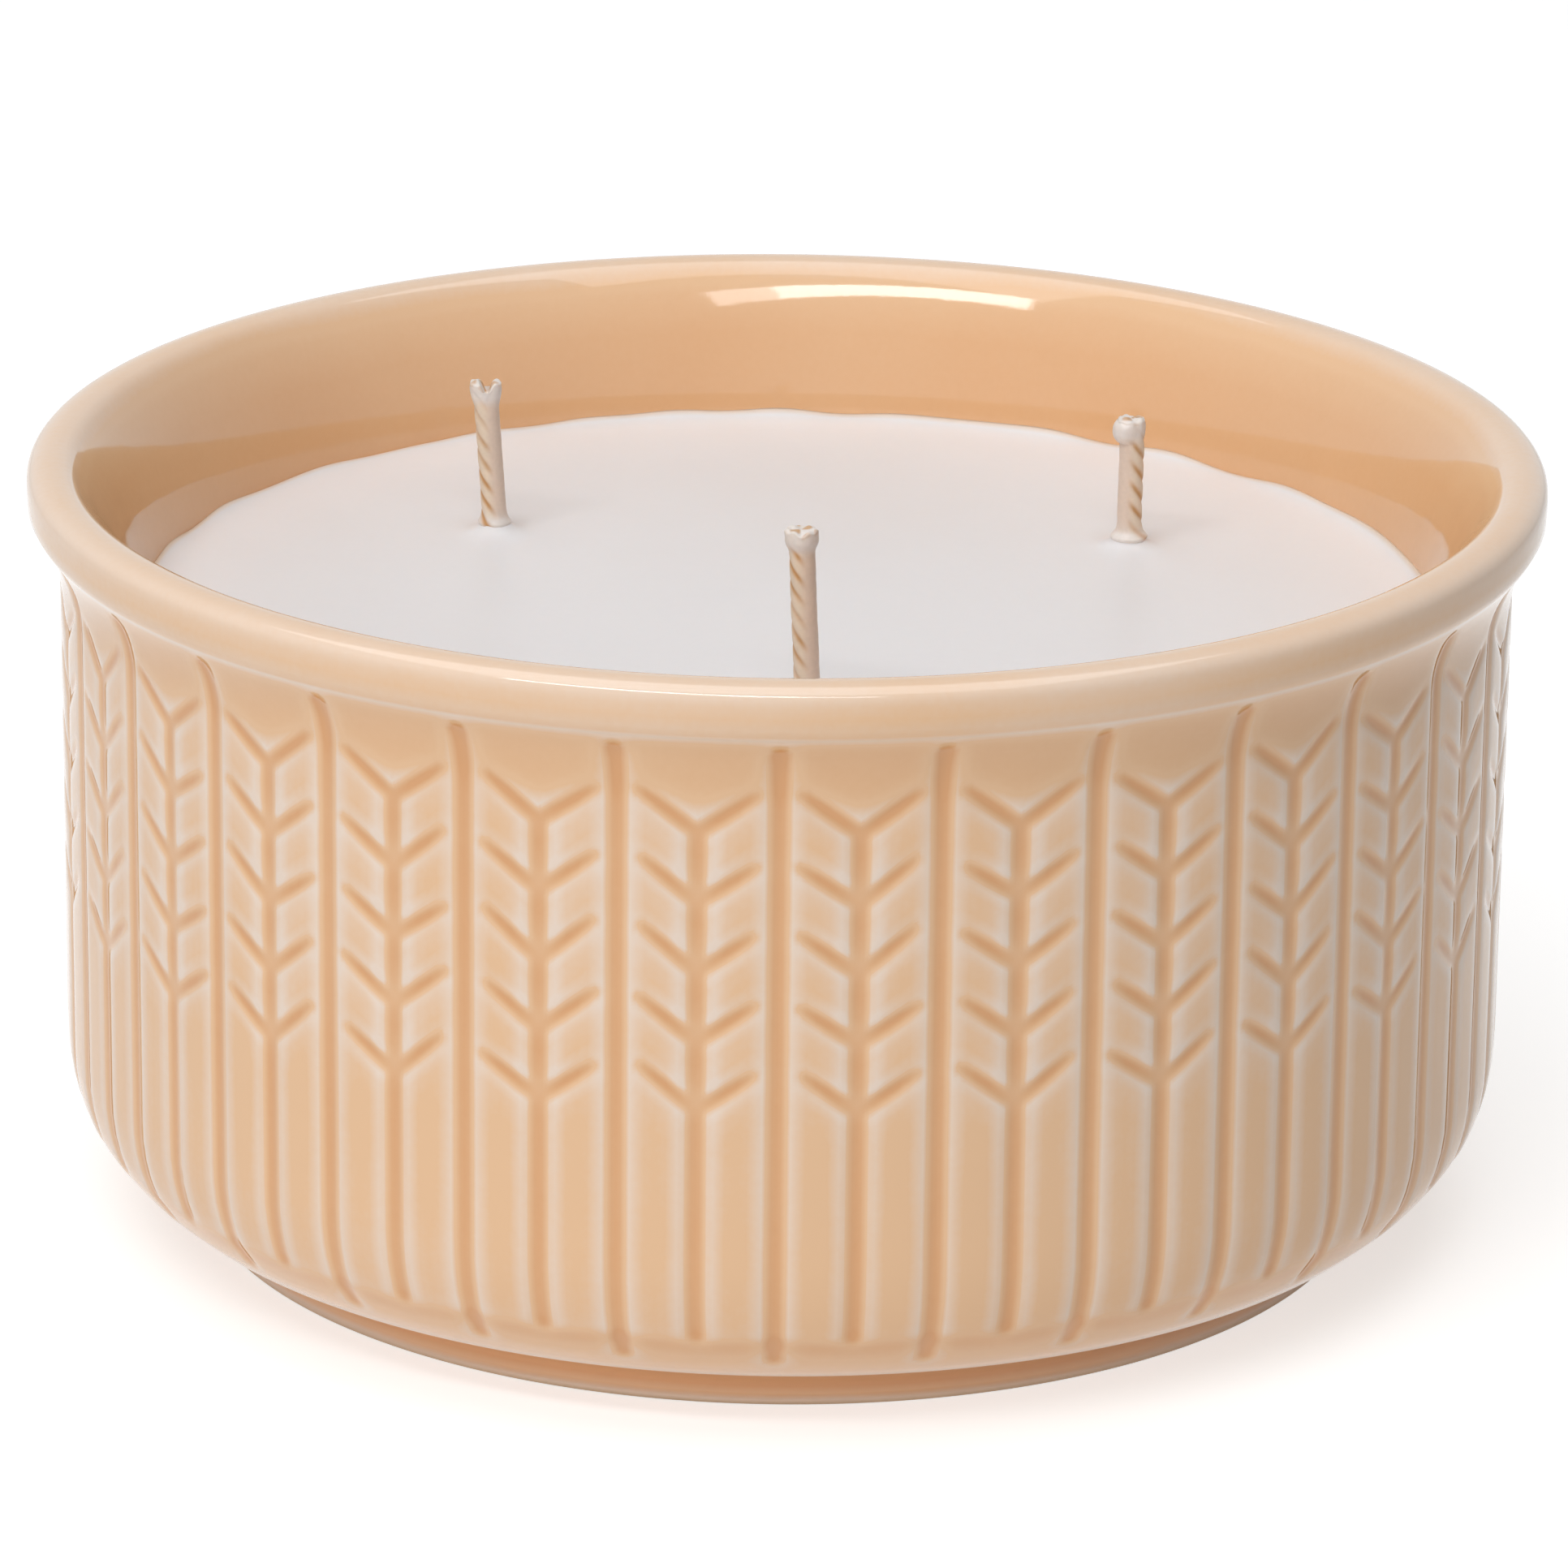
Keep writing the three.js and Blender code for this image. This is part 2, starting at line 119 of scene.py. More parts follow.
class ReliefSizes(bpy.types.PropertyGroup):
    """Sizes of the wheat-ear relief. Heights are above the surface that the bowl stands on."""

    ears: IntProperty(name="Ears", description="Ears round the bowl", default=30, min=3)
    leaf_pairs: IntProperty(name="Leaf pairs", description="Pairs of leaves on an ear", default=5, min=1)
    leaf_pitch: length("Leaf pitch", "Height from one pair of leaves to the next", 0.00637)
    leaf_spread: length("Leaf spread", "How far a leaf reaches from its stem", 0.005)
    leaf_rise: length("Leaf rise", "How far a leaf climbs", 0.0036)
    leaf_width: length("Leaf width", "Width of a leaf's groove", 0.0013)
    groove_width: length("Groove width", "Width of the stems and dividers", 0.0016)
    groove_depth: length("Groove depth", "Depth of the grooves in the clay", 0.0003)
    first_leaf: length("First leaf", "Height of the top pair's joint with the stem", 0.058)
    divider_top: length("Divider top", "Height of a divider's top end", 0.0661)
    divider_foot: length("Divider foot", "Height of a divider's bottom end", 0.0074)
    stem_foot: length("Stem foot", "Height of a stem's bottom end", 0.0103)
    panel_foot: length("Panel foot", "Height at which the panels end over the foot", 0.0097)
    panel_step: length("Panel step", "How far the panels stand out over the bottom band", 0.00025)
    foot_crescent: share("Foot crescent", "Glaze gathered at the foot of a panel, in groove depths", 0.26)
    hand: share("Hand", "How far the leaves differ from one to the next", 0.12)


class GlazeColours(bpy.types.PropertyGroup):
    """Colours of the glaze by its thickness, which also carries painted shade in the hollows and painted
    bounce light inside, and of the bare clay.
    """

    thin: colour("Thin glaze", "Over edges, where the clay shows through", (0.88, 0.72, 0.60))
    even: colour("Even glaze", "On open panels", (0.85, 0.545, 0.315))
    # The deep colour serves both as pooled glaze and as painted shade in the hollows and painted bounce
    # light inside the bowl.
    deep: colour("Deep glaze", "Pooled in grooves and hollows", (0.755, 0.388, 0.172))
    clay: colour("Bare clay", "The unglazed foot land", (0.76, 0.55, 0.37))
    # Pooling is set high so that the deeper colour in hollows, as under the lip, is partly pooled glaze and
    # partly painted shade.
    pooling_and_shade: amount("Pooling", "Glaze in the section's hollows, against what runs off round edges", 3.75)
    # Inside is painted bounce light: a deeper, more saturated colour over the bowl's inside, given in
    # groove depths of glaze.
    inside: amount("Inside", "Extra glaze inside the bowl, in groove depths", 0.25)


class WaxSettings(bpy.types.PropertyGroup):
    """Shape and colour of the wax."""

    meniscus_height: length("Meniscus height", "How far the wax climbs each wick", 0.0013)
    meniscus_reach: length("Meniscus reach", "How fast that climb dies away", 0.0009)
    edge_climb: length("Edge climb", "How far the wax climbs the wall, at most", 0.0012)
    edge_reach: length("Edge reach", "How fast the climb dies away from the wall", 0.0007)
    tone: colour("Wax", "Colour of the wax", (0.86, 0.838, 0.845))
    film: colour("Film", "The thin edge of the wax, with the glaze showing through", (0.86, 0.66, 0.50))


class WickSettings(bpy.types.PropertyGroup):
    """Shape and colours of the wicks, which are strands twisted together and dipped in wax."""

    thickness: length("Thickness", "Diameter of a wick", 0.0024)
    tip_radius: length("Tip radius", "Radius of the spread tip", 0.00157)
    strands: IntProperty(name="Strands", description="Strands twisted into a wick", default=4, min=1)
    lead: length("Lead", "Height in which a strand goes once round", 0.008)
    furrow: length("Furrow", "Depth between the strands", 0.00011)
    cotton: colour("Cotton", "The strands under their wax", (0.86, 0.72, 0.57))
    dye: colour("Furrow line", "The golden brown lines between the strands", (0.60, 0.31, 0.11))
    coat: colour("Wax coat", "The thicker wax on one side", (0.83, 0.66, 0.54))
    bead: colour("Wax bead", "The clear wax round the tip and the foot", (0.87, 0.81, 0.77))


class HardwareColours(bpy.types.PropertyGroup):
    """Colours of what the wax hides."""

    tin: colour("Tin plate", "The wicks' metal tabs", (0.62, 0.63, 0.65))
    foam: colour("Foam", "The stickers under the tabs", (0.86, 0.84, 0.80))


class StageSettings(bpy.types.PropertyGroup):
    """Levels of the studio's light, as radiances, where 1 is white."""

    strip: amount("Strip", "Crisp strip lamp over the camera, at its left", 12.5)
    ceiling: amount("Ceiling", "Broad lamp overhead", 1.8)
    front: amount("Front", "Low broad lamp at the camera's left", 2.2)
    paper: share("Paper", "Share of the light that the floor's paper sends back", 0.6)
    floor_glow: amount("Floor glow", "Light that the floor itself gives off", 0.18)
    floor_white: amount("Floor white", "The same where the camera or a mirror sees it", 0.63)


class CandleSettings(bpy.types.PropertyGroup):
    """All that a user would change on the candle."""

    bowl: PointerProperty(type=BowlSizes)
    relief: PointerProperty(type=ReliefSizes)
    glaze: PointerProperty(type=GlazeColours)
    wax: PointerProperty(type=WaxSettings)
    wick: PointerProperty(type=WickSettings)
    hardware: PointerProperty(type=HardwareColours)
    stage: PointerProperty(type=StageSettings)


# Numbers and arrays

def ease(low, high, x):
    """0 below low, 1 above high, and t*t*(3 - 2*t) between them."""
    t = np.clip((x - low) / (high - low), 0, 1)
    return t * t * (3 - 2 * t)


def blur(field, sigma, axis):
    """A Gaussian blur along one axis, as a product with exp(-2 (pi sigma f)^2) over its frequencies f.
    The field wraps round at its ends, and sigma is in cells."""
    count = field.shape[axis]
    waves = np.fft.rfft(field, axis=axis)
    gain = np.exp(-2 * (math.pi * sigma * np.fft.rfftfreq(count)) ** 2)
    shape = [1] * field.ndim
    shape[axis] = len(gain)
    return np.fft.irfft(waves * gain.reshape(shape), n=count, axis=axis)


def arc(centre, radius, start, end, steps=24):
    """Points centre + radius * (cos a, sin a), with a going from start to end in degrees."""
    a = np.radians(np.linspace(start, end, steps))
    return np.stack([centre[0] + radius * np.cos(a), centre[1] + radius * np.sin(a)], 1)


def full_turn(count):
    """Even turns once round."""
    return np.arange(count) * 2 * math.pi / count


def on_bowl(radius, height, turn):
    """(r sin t, -r cos t, z) for arrays of radius r, height z and turn t."""
    radius, height, turn = np.broadcast_arrays(radius, height, turn)
    return np.stack([radius * np.sin(turn), -radius * np.cos(turn), height], -1)


# Meshes from grids of points

def bands(rings):
    """Quads between neighbouring rows of point numbers, each row a closed ring."""
    low, high = rings[:-1], rings[1:]
    return np.stack([low, np.roll(low, -1, 1), np.roll(high, -1, 1), high], -1).reshape(-1, 4)


def stitch(low, high):
    """Triangles between two closed rings of point numbers, one with twice the other's points."""
    if len(low) < len(high):
        a, b = low, np.roll(low, -1)
        f, g, h = high[::2], high[1::2], np.roll(high[::2], -1)
        parts = [(a, b, g), (a, g, f), (b, h, g)]
    else:
        a, b = high, np.roll(high, -1)
        f, g, h = low[::2], low[1::2], np.roll(low[::2], -1)
        parts = [(f, g, a), (g, h, b), (g, b, a)]
    return np.concatenate([np.stack(p, -1) for p in parts])


def fan(ring, pole, pole_last):
    """Triangles between a closed ring and a single point, after it or before it in the profile."""
    after = np.roll(ring, -1)
    pole = np.full_like(ring, pole)
    return np.stack([ring, after, pole] if pole_last else [pole, after, ring], -1)


def closed(grid, low_pole, high_pole):
    """Points and faces of a grid of closed rings, with a pole before its first and after its last."""
    numbers = np.arange(grid.shape[0] * grid.shape[1]).reshape(grid.shape[:2])
    points = np.concatenate([grid.reshape(-1, 3), [low_pole, high_pole]])
    low, high = numbers.size, numbers.size + 1
    return points, [fan(numbers[0], low, False), bands(numbers), fan(numbers[-1], high, True)]


def add_object(name, data):
    """A new object in the scene."""
    thing = bpy.data.objects.new(name, data)
    bpy.context.scene.collection.objects.link(thing)
    return thing


def new_piece(name, points, faces, attributes, material, replaced):
    """A smooth mesh object from an array of points and lists of faces, riding on the candle."""
    mesh = bpy.data.meshes.new(name)
    mesh.from_pydata(points.tolist(), [], [f for part in faces for f in part.tolist()])
    mesh.update()
    mesh.shade_smooth()
    for key, values in attributes.items():
        layer = mesh.attributes.new(key, "FLOAT", "POINT")
        layer.data.foreach_set("value", np.asarray(values, np.float32).ravel())
    mesh.materials.append(material)
    piece = add_object(name, mesh)
    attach(piece, BODY)
    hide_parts(replaced)
    return piece


# The bowl's section, as a fine line of points among which the mesh's rings are placed

def lip_centres(s):
    """Centres of the lip's arcs as (radius, height): neck, lower edge, upper edge, crown, inner edge.
    Each arc is tangent to the next."""
    rim, top = BOWL_BOX[1].x, BOWL_BOX[1].z
    sine, cosine = math.sin(s.crown_slope), math.cos(s.crown_slope)
    upper_r = rim - s.upper_edge
    crown = (upper_r - (s.crown_radius - s.upper_edge) * sine, top - s.crown_radius)
    upper = (upper_r, crown[1] + (s.crown_radius - s.upper_edge) * cosine)
    inner = (crown[0] - (s.crown_radius - s.inner_edge) * sine,
             crown[1] + (s.crown_radius - s.inner_edge) * cosine)
    lower = (rim - s.lower_edge, upper[1] - s.lip_face)
    neck_r = rim - s.lip_overhang + s.neck_radius
    drop = math.sqrt((s.neck_radius + s.lower_edge) ** 2 - (neck_r - lower[0]) ** 2)
    return (neck_r, lower[1] - drop), lower, upper, crown, inner


def flare_arc(s):
    """The flare of the inner wall as its centre, its radius and the height of its top."""
    inner = lip_centres(s)[-1]
    top = (inner[0] - s.inner_edge * math.cos(s.inner_edge_slope),
           inner[1] + s.inner_edge * math.sin(s.inner_edge_slope))
    upright = BOWL_BOX[1].x - s.lip_overhang - s.wall_thickness
    radius = (top[0] - upright) / (1 - math.cos(s.inner_edge_slope))
    return (upright + radius, top[1] - radius * math.sin(s.inner_edge_slope)), radius, top[1]


def inner_radius(s, height):
    """Radius of the bowl's inside: a quarter ellipse in the corner, an upright wall, and a flare of
    centre - sqrt(radius ** 2 - rise ** 2)."""
    centre, radius, _ = flare_arc(s)
    start = s.foot_hollow + s.floor_thickness + s.inner_corner_rise
    drop = np.clip((start - height) / s.inner_corner_rise, 0, 1)
    rise = np.clip(height - centre[1], 0, radius)
    return centre[0] - np.sqrt(radius ** 2 - rise ** 2) - s.inner_corner_run * (1 - np.sqrt(1 - drop ** 2))


def foot_section(s):
    """From under the middle, out over the hollow and the land, and up the drawn-in face of the foot."""
    outer, edge = s.foot_radius, s.foot_edge
    land = outer - edge - s.foot_land
    bottom = BOWL_BOX[1].x - s.lip_overhang - s.corner_run
    under = np.stack([np.linspace(0, land - 3 * edge, 60), np.full(60, s.foot_hollow)], 1)
    inner_side = arc((land - 3 * edge, s.foot_hollow - edge), edge, 90, 0)
    inner_edge = arc((land, edge), edge, 180, 270)
    outer_edge = arc((outer - edge, edge), edge, -90, 0)
    # A cubic curve from its first point to its last, drawn towards the two between them
    a, b, c, d = (np.array(point) for point in (
        (outer, edge), (outer - 2.2 * s.foot_waist, 0.45 * s.foot_height),
        (outer - 0.3 * s.foot_waist, 0.86 * s.foot_height), (bottom, s.foot_height - 0.2 * edge)))
    t = np.linspace(0, 1, 60)[1:, None]
    face = (1 - t) ** 3 * a + 3 * t * (1 - t) ** 2 * b + 3 * t * t * (1 - t) * c + t ** 3 * d
    return np.concatenate([under, inner_side, inner_edge, outer_edge, face])


def outer_section(s):
    """The rounded bottom corner, the wall and the neck, and the angle at which the neck meets the lip."""
    wall = BOWL_BOX[1].x - s.lip_overhang
    top = s.foot_height + s.corner_rise
    a = np.radians(np.linspace(90, 0, 120))
    corner = np.stack([wall - s.corner_run * (1 - np.cos(a)), top - s.corner_rise * np.sin(a)], 1)
    neck, lower = lip_centres(s)[:2]
    meet = math.degrees(math.atan2(lower[1] - neck[1], neck[0] - lower[0]))
    straight = np.stack([np.full(200, wall), np.linspace(top, neck[1], 200)], 1)
    return np.concatenate([corner, straight[1:], arc(neck, s.neck_radius, 180, 180 - meet, 80)[1:]]), meet


def bowl_section(s):
    """The whole section, from under the middle to the middle of the floor inside: its points, the way
    along it to each, and its outer part from the foot to the lip."""
    outside, meet = outer_section(s)
    _, lower, upper, crown, inner = lip_centres(s)
    slope = math.degrees(s.crown_slope)
    lip = np.concatenate([
        arc(lower, s.lower_edge, -meet, 0), arc(upper, s.upper_edge, 0, 90 - slope),
        arc(crown, s.crown_radius, 90 - slope, 90 + slope),
        arc(inner, s.inner_edge, 90 + slope, 180 - math.degrees(s.inner_edge_slope))])
    floor = s.foot_hollow + s.floor_thickness
    corner_top = floor + s.inner_corner_rise
    wall_z = np.linspace(flare_arc(s)[2], corner_top, 300)
    corner_z = corner_top - s.inner_corner_rise * np.sin(np.radians(np.linspace(0, 90, 80)))
    down = np.concatenate([wall_z, corner_z])
    inside = np.stack([inner_radius(s, down), down], 1)
    middle = np.stack([np.linspace(inside[-1, 0], 0, 60), np.full(60, floor)], 1)
    path = np.concatenate([foot_section(s), outside, lip, inside, middle])
    path = path[np.concatenate([[True], np.hypot(*np.diff(path, axis=0).T) > 1e-7])]
    way = np.concatenate([[0], np.cumsum(np.hypot(*np.diff(path, axis=0).T))])
    return path, way, outside


# The relief

# The map of the relief: its columns and rows, the shoulder of a groove, and how far the pressed clay, the
# glaze's surface and the glaze's underside are softened
MAP_COLUMNS = 2880
MAP_STEP = 0.15 * MM
SHOULDER = 0.26 * MM
CLAY_BLUR = 0.4 * MM
SURFACE_BLUR = 0.95 * MM
UNDERSIDE_BLUR = 0.28 * MM

# Columns of the mesh across half an ear, as shares of its width, close together on the grooves
STATIONS = np.array([0, 0.35, 0.7, 1.05, 1.6, 2.6, 3.6, 4.5, 5.2, 5.8, 6.25, 6.65]) / 7.03


def ear_hands(r):
    """How far each leaf departs from the even pattern, drawn once from a seeded generator:
    arrays of rises and spreads by ear, side and pair."""
    draw = np.random.default_rng(7)
    shape = (r.ears, 2, r.leaf_pairs)
    side = draw.normal(0, 1, (r.ears, 2, 1))
    rises = r.leaf_rise * (1 + r.hand * np.clip(0.6 * side + 0.6 * draw.normal(0, 1, shape), -1.6, 1.6))
    spreads = r.leaf_spread * (1 + 0.35 * r.hand * np.clip(draw.normal(0, 1, shape), -1.6, 1.6))
    return rises, spreads


def ear_places(r, turns, wall_radius):
    """For turns round the bowl: the ear, the distance across it from its stem, and half its width.
    A turn on a divider counts to the ear after it, whatever its last digit."""
    unit = 2 * math.pi / r.ears
    ear = np.floor(turns / unit + 1e-9).astype(int)
    return ear, (turns - (ear + 0.5) * unit) * wall_radius, 0.5 * unit * wall_radius


def cut(distance, half):
    """A groove's depth from 0 to 1 by the distance from its middle line and half its width."""
    return 1 - ease(half - SHOULDER, half + SHOULDER, distance)


def upright_cut(distance, w, low, high, width):
    """The depth of an upright groove with round ends, at distances from its middle line and ways w."""
    half = width / 2
    beyond = np.maximum(np.maximum(low + half - w, w - high + half), 0)
    return cut(np.hypot(distance, beyond), half)


def leaf_cut(out, up, rise, spread, width):
    """The depth of a leaf's groove at distances out from the stem and up from its joint. It follows the
    line (spread, rise), narrows along it and fades at its tip."""
    size = np.hypot(rise, spread)
    along = (out * spread + up * rise) / size ** 2
    off = np.abs(up * spread - out * rise) / size
    past = np.maximum(along - 1, 0) * size
    half = (1 - 0.42 * np.clip(along, 0, 1) ** 1.5) * width / 2
    leaf = cut(np.hypot(off, past), half) * (1 - 0.5 * ease(0.6, 1.15, along))
    return np.where(along > -0.1, leaf, 0)


def relief_map(s, r, way_at, end, wall_radius):
    """The relief on an even grid of turns and ways: its rows' ways, the pressed clay's level in metres, and
    the glaze's thickness, which is its surface less its underside, in units of the groove's depth. The
    deepest cut wins, and each panel ends over the foot on a curve that smiles."""
    rows = np.arange(way_at(s.foot_height + 0.2 * MM), end, MAP_STEP)
    ear, across, half_unit = ear_places(r, full_turn(MAP_COLUMNS), wall_radius)
    side = (across > 0).astype(int)
    out, w = np.abs(across)[None, :], rows[:, None]
    first, width = way_at(r.first_leaf), r.groove_width
    divider = upright_cut(half_unit - out, w, way_at(r.divider_foot), way_at(r.divider_top), width)
    clay = np.maximum(divider, upright_cut(out, w, way_at(r.stem_foot), first + width / 2, width))
    rises, spreads = ear_hands(r)
    for pair in range(r.leaf_pairs):
        up = w - (first - pair * r.leaf_pitch)
        leaf = leaf_cut(out, up, rises[ear, side, pair], spreads[ear, side, pair], r.leaf_width)
        clay = np.maximum(clay, leaf)
    smile = 0.5 * MM * (across / half_unit) ** 2
    over_foot = w - way_at(r.panel_foot) - smile[None, :]
    ledge = ease(-1.6 * MM, 1.4 * MM, over_foot)
    crescent = r.foot_crescent * np.exp(-(over_foot / (1.1 * MM)) ** 2)
    clay = -r.groove_depth * clay + r.panel_step * (ledge - 1)
    cell = 2 * math.pi * wall_radius / MAP_COLUMNS

    def softened(sigma):
        return blur(blur(clay, sigma / cell, 1), sigma / MAP_STEP, 0)

    thickness = (softened(SURFACE_BLUR) - softened(UNDERSIDE_BLUR)) / r.groove_depth + crescent
    return rows, softened(CLAY_BLUR), thickness


def look_up(field, rows, turn, way):
    """Bilinear values of a map at arrays of turns and ways."""
    columns = field.shape[1]
    x = (turn / (2 * math.pi) * columns) % columns
    y = np.clip((way - rows[0]) / (rows[1] - rows[0]), 0, len(rows) - 1.001)
    i, j = x.astype(int), y.astype(int)
    fx, fy = x - i, y - j
    i2 = (i + 1) % columns
    low = field[j, i] * (1 - fx) + field[j, i2] * fx
    high = field[j + 1, i] * (1 - fx) + field[j + 1, i2] * fx
    return low * (1 - fy) + high * fy


def bowl_turns(r):
    """Turns of the columns: the same stations on both sides of each stem, and one on each divider."""
    half = math.pi / r.ears
    across = np.concatenate([[-1], -STATIONS[:0:-1], STATIONS]) * half + half
    return (across[None, :] + 2 * half * np.arange(r.ears)[:, None]).ravel()


def relief_rows(r, way_at, start, end):
    """Ways of the relief band's rows, close together on the leaves, the feet and the neck."""
    # Rows about one pair of leaves
    pitch = np.array([-2.3, -1.35, -0.95, -0.6, -0.3, 0, 0.3, 0.6, 0.95, 1.35, 2.3]) * MM
    first = way_at(r.first_leaf)
    leaves = np.concatenate([first - k * r.leaf_pitch + pitch for k in range(r.leaf_pairs)])
    feet = np.arange(way_at(r.divider_foot) - 1.2 * MM, way_at(r.panel_foot) + 3.6 * MM, 0.5 * MM)
    up = np.arange(feet[-1] + 1.5 * MM, leaves.min() - 1 * MM, 2 * MM)
    over = np.arange(leaves.max() + 0.8 * MM, way_at(r.divider_top) - 1.5 * MM, 1 * MM)
    neck = np.arange(way_at(r.divider_top) - 1.2 * MM, end, 0.5 * MM)
    rows = np.concatenate([[start], feet, up, leaves, over, neck, [end]])
    rows = np.unique(rows[(rows >= start) & (rows <= end)])
    return rows[np.concatenate([[True], np.diff(rows) > 0.12 * MM])]


def relief_warp(r, way_at, rows, turns, wall_radius):
    """How far each point of a row is lifted so that the rows run along the leaves: the leaf's rise times
    the distance from the stem, held past its tip, and faded out under and over the leaves."""
    ear, across, half = ear_places(r, turns, wall_radius)
    side = (across > 0).astype(int)
    rises, _ = ear_hands(r)
    first = way_at(r.first_leaf)
    pair = np.clip((first - rows) / r.leaf_pitch, 0, r.leaf_pairs - 1)
    low = np.minimum(pair.astype(int), r.leaf_pairs - 2)
    part = (pair - low)[:, None]
    own = rises[ear, side]
    rise = own[:, low].T * (1 - part) + own[:, low + 1].T * part
    past = ease(r.leaf_spread, half, np.abs(across))[None, :]
    rise = rise * (1 - past) + r.leaf_rise * past
    bottom = first - (r.leaf_pairs - 1) * r.leaf_pitch
    top = way_at(r.divider_top) - 1 * MM
    fade = ease(bottom - 9 * MM, bottom - 1 * MM, rows) * (1 - ease(first + 1 * MM, top, rows))
    return fade[:, None] * rise * np.minimum(np.abs(across) / r.leaf_spread, 1)[None, :]


def at_ways(ways, way, pairs):
    """Both columns of an array of pairs along the section, read at some ways."""
    return [np.interp(ways, way, pairs[:, k]) for k in (0, 1)]


def section_bend(path, way):
    """The turning of the section's direction per metre, softened along an even way. It is positive on
    round edges and negative in hollows."""
    even = np.arange(0, way[-1], 0.1 * MM)
    radius, height = at_ways(even, way, path)
    heading = np.unwrap(np.arctan2(np.gradient(height), np.gradient(radius)))
    kernel = np.exp(-0.5 * (np.arange(-40, 41) / 8) ** 2)
    return even, np.convolve(np.gradient(heading, even), kernel / kernel.sum(), mode="same")


def section_glaze_and_shade(glaze, path, way):
    """The glaze's thickness from the section's bend, on an even way, with painted light: it runs off round
    edges, pools in hollows, where its deeper colour also paints their shade such as the neck's under the
    lip, and inside it gets a deeper colour that paints the light bouncing round in the bowl."""
    even, bend = section_bend(path, way)
    run_off = 0.4 * MM
    # Painted shade: hollows gain far more depth than round edges lose, so that the neck under the lip
    # darkens.
    depth = -run_off * bend * np.where(bend < 0, glaze.pooling_and_shade, 1)
    lip = way[int(np.argmax(path[:, 1]))]
    # Painted bounce light: a deeper colour inside the bowl, past the lip.
    return even, depth + glaze.inside * ease(lip + 2 * MM, lip + 8 * MM, even)


def spaced(path, way, start, end, finest, widest):
    """Ways between start and end whose spacing is 0.22 of the section's radius of bend, within limits."""
    even, bend = section_bend(path, way)
    gap = np.clip(0.22 / np.maximum(np.abs(bend), 1e-6), finest, widest)
    inside = (even >= start) & (even <= end)
    total = np.cumsum(1 / gap[inside])
    count = max(2, int(round((total[-1] - total[0]) * (even[1] - even[0]))))
    return np.interp(np.linspace(total[0], total[-1], count + 1)[1:-1], total, even[inside])


def build_bowl(settings, material):
    """The bowl: its section turned round the axis, with the relief pressed in along the wall's normal.
    The band of the relief has twice the columns of the rings under and over it."""
    s, r = settings.bowl, settings.relief
    path, way, outside = bowl_section(s)
    wall = BOWL_BOX[1].x - s.lip_overhang
    first, last = (int(np.argmin(np.hypot(*(path - point).T))) for point in (outside[0], outside[-1]))
    body, body_way = path[first:last + 1], way[first:last + 1]

    def way_at(height):
        """The way along the section to a height on the bowl's outside."""
        return float(np.interp(height, body[:, 1], body_way))

    start, end = way_at(r.divider_foot - 2 * MM), body_way[-1]
    even, glaze_and_shade = section_glaze_and_shade(settings.glaze, path, way)
    tangent = np.gradient(path, way, axis=0)
    tangent /= np.linalg.norm(tangent, axis=1)[:, None]

    turns = bowl_turns(r)
    stops = relief_rows(r, way_at, start, end)
    ways = stops[:, None] + relief_warp(r, way_at, stops, turns, wall)
    turn = np.broadcast_to(turns, ways.shape)
    rows, level, thickness = relief_map(s, r, way_at, end, wall)
    edge = ease(start, start + 1 * MM, ways) * (1 - ease(end - 0.4 * MM, end, ways))
    press = look_up(level, rows, turn, ways) * edge
    radius, height = at_ways(ways, way, path)
    along_r, along_z = at_ways(ways, way, tangent)
    relief = on_bowl(radius + press * along_z, height - press * along_r, turn).reshape(-1, 3)
    # The relief's glaze thickness plus the painted shade of the hollows and the painted bounce light
    # inside.
    relief_glaze_and_shade = look_up(thickness, rows, turn, ways) * edge + np.interp(ways, even, glaze_and_shade)

    def plain_rings(ring_ways):
        """Points of rings without relief, with their glaze and its painted shade and bounce light, and the
        clay's bareness on the foot's land.
        """
        radius, height = at_ways(ring_ways[:, None], way, path)
        points = on_bowl(radius, height, turns[::2])
        values = np.interp(ring_ways[:, None], even, glaze_and_shade), 1 - ease(0.1 * MM, 0.8 * MM, height)
        return points.reshape(-1, 3), *(np.broadcast_to(v, points.shape[:2]).ravel() for v in values)

    under = spaced(path, way, 0, start, 0.22 * MM, 5 * MM)
    over = spaced(path, way, end, way[-1], 0.25 * MM, 4 * MM)
    poles = [[0, 0, s.foot_hollow], [0, 0, s.foot_hollow + s.floor_thickness]], [0, 0], [0, 0]
    band = relief, relief_glaze_and_shade.ravel(), np.zeros(len(relief))
    points, glaze, bare = (np.concatenate(parts) for parts in zip(
        plain_rings(under), band, plain_rings(over), poles))

    n, m = len(turns) // 2, len(turns)
    numbers = np.arange(len(points))
    a, b, c, (low, high) = np.split(numbers, np.cumsum([len(under) * n, len(stops) * m, len(over) * n]))
    a, b, c = a.reshape(-1, n), b.reshape(-1, m), c.reshape(-1, n)
    faces = [fan(a[0], low, False), bands(a), stitch(a[-1], b[0]), bands(b), stitch(b[-1], c[0]),
             bands(c), fan(c[-1], high, True)]
    # The glaze attribute carries painted shade and painted bounce light along with the glaze's thickness.
    attributes = {"glaze": glaze, "bare": bare}
    return new_piece("glazed_bowl", points, faces, attributes, material, "bowl")


# The wax

def wick_foot(side):
    """Where a wick leaves the wax, from the box of its tab, which is round."""
    low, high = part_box(f"wick_sustainer_{side}")
    return (low.x + high.x) / 2, (low.y + high.y) / 2


def wax_level():
    """Height of the flat of the wax, from the wax's box less the cones round the wicks."""
    return WAX_BOX[1].z - 0.8 * MM


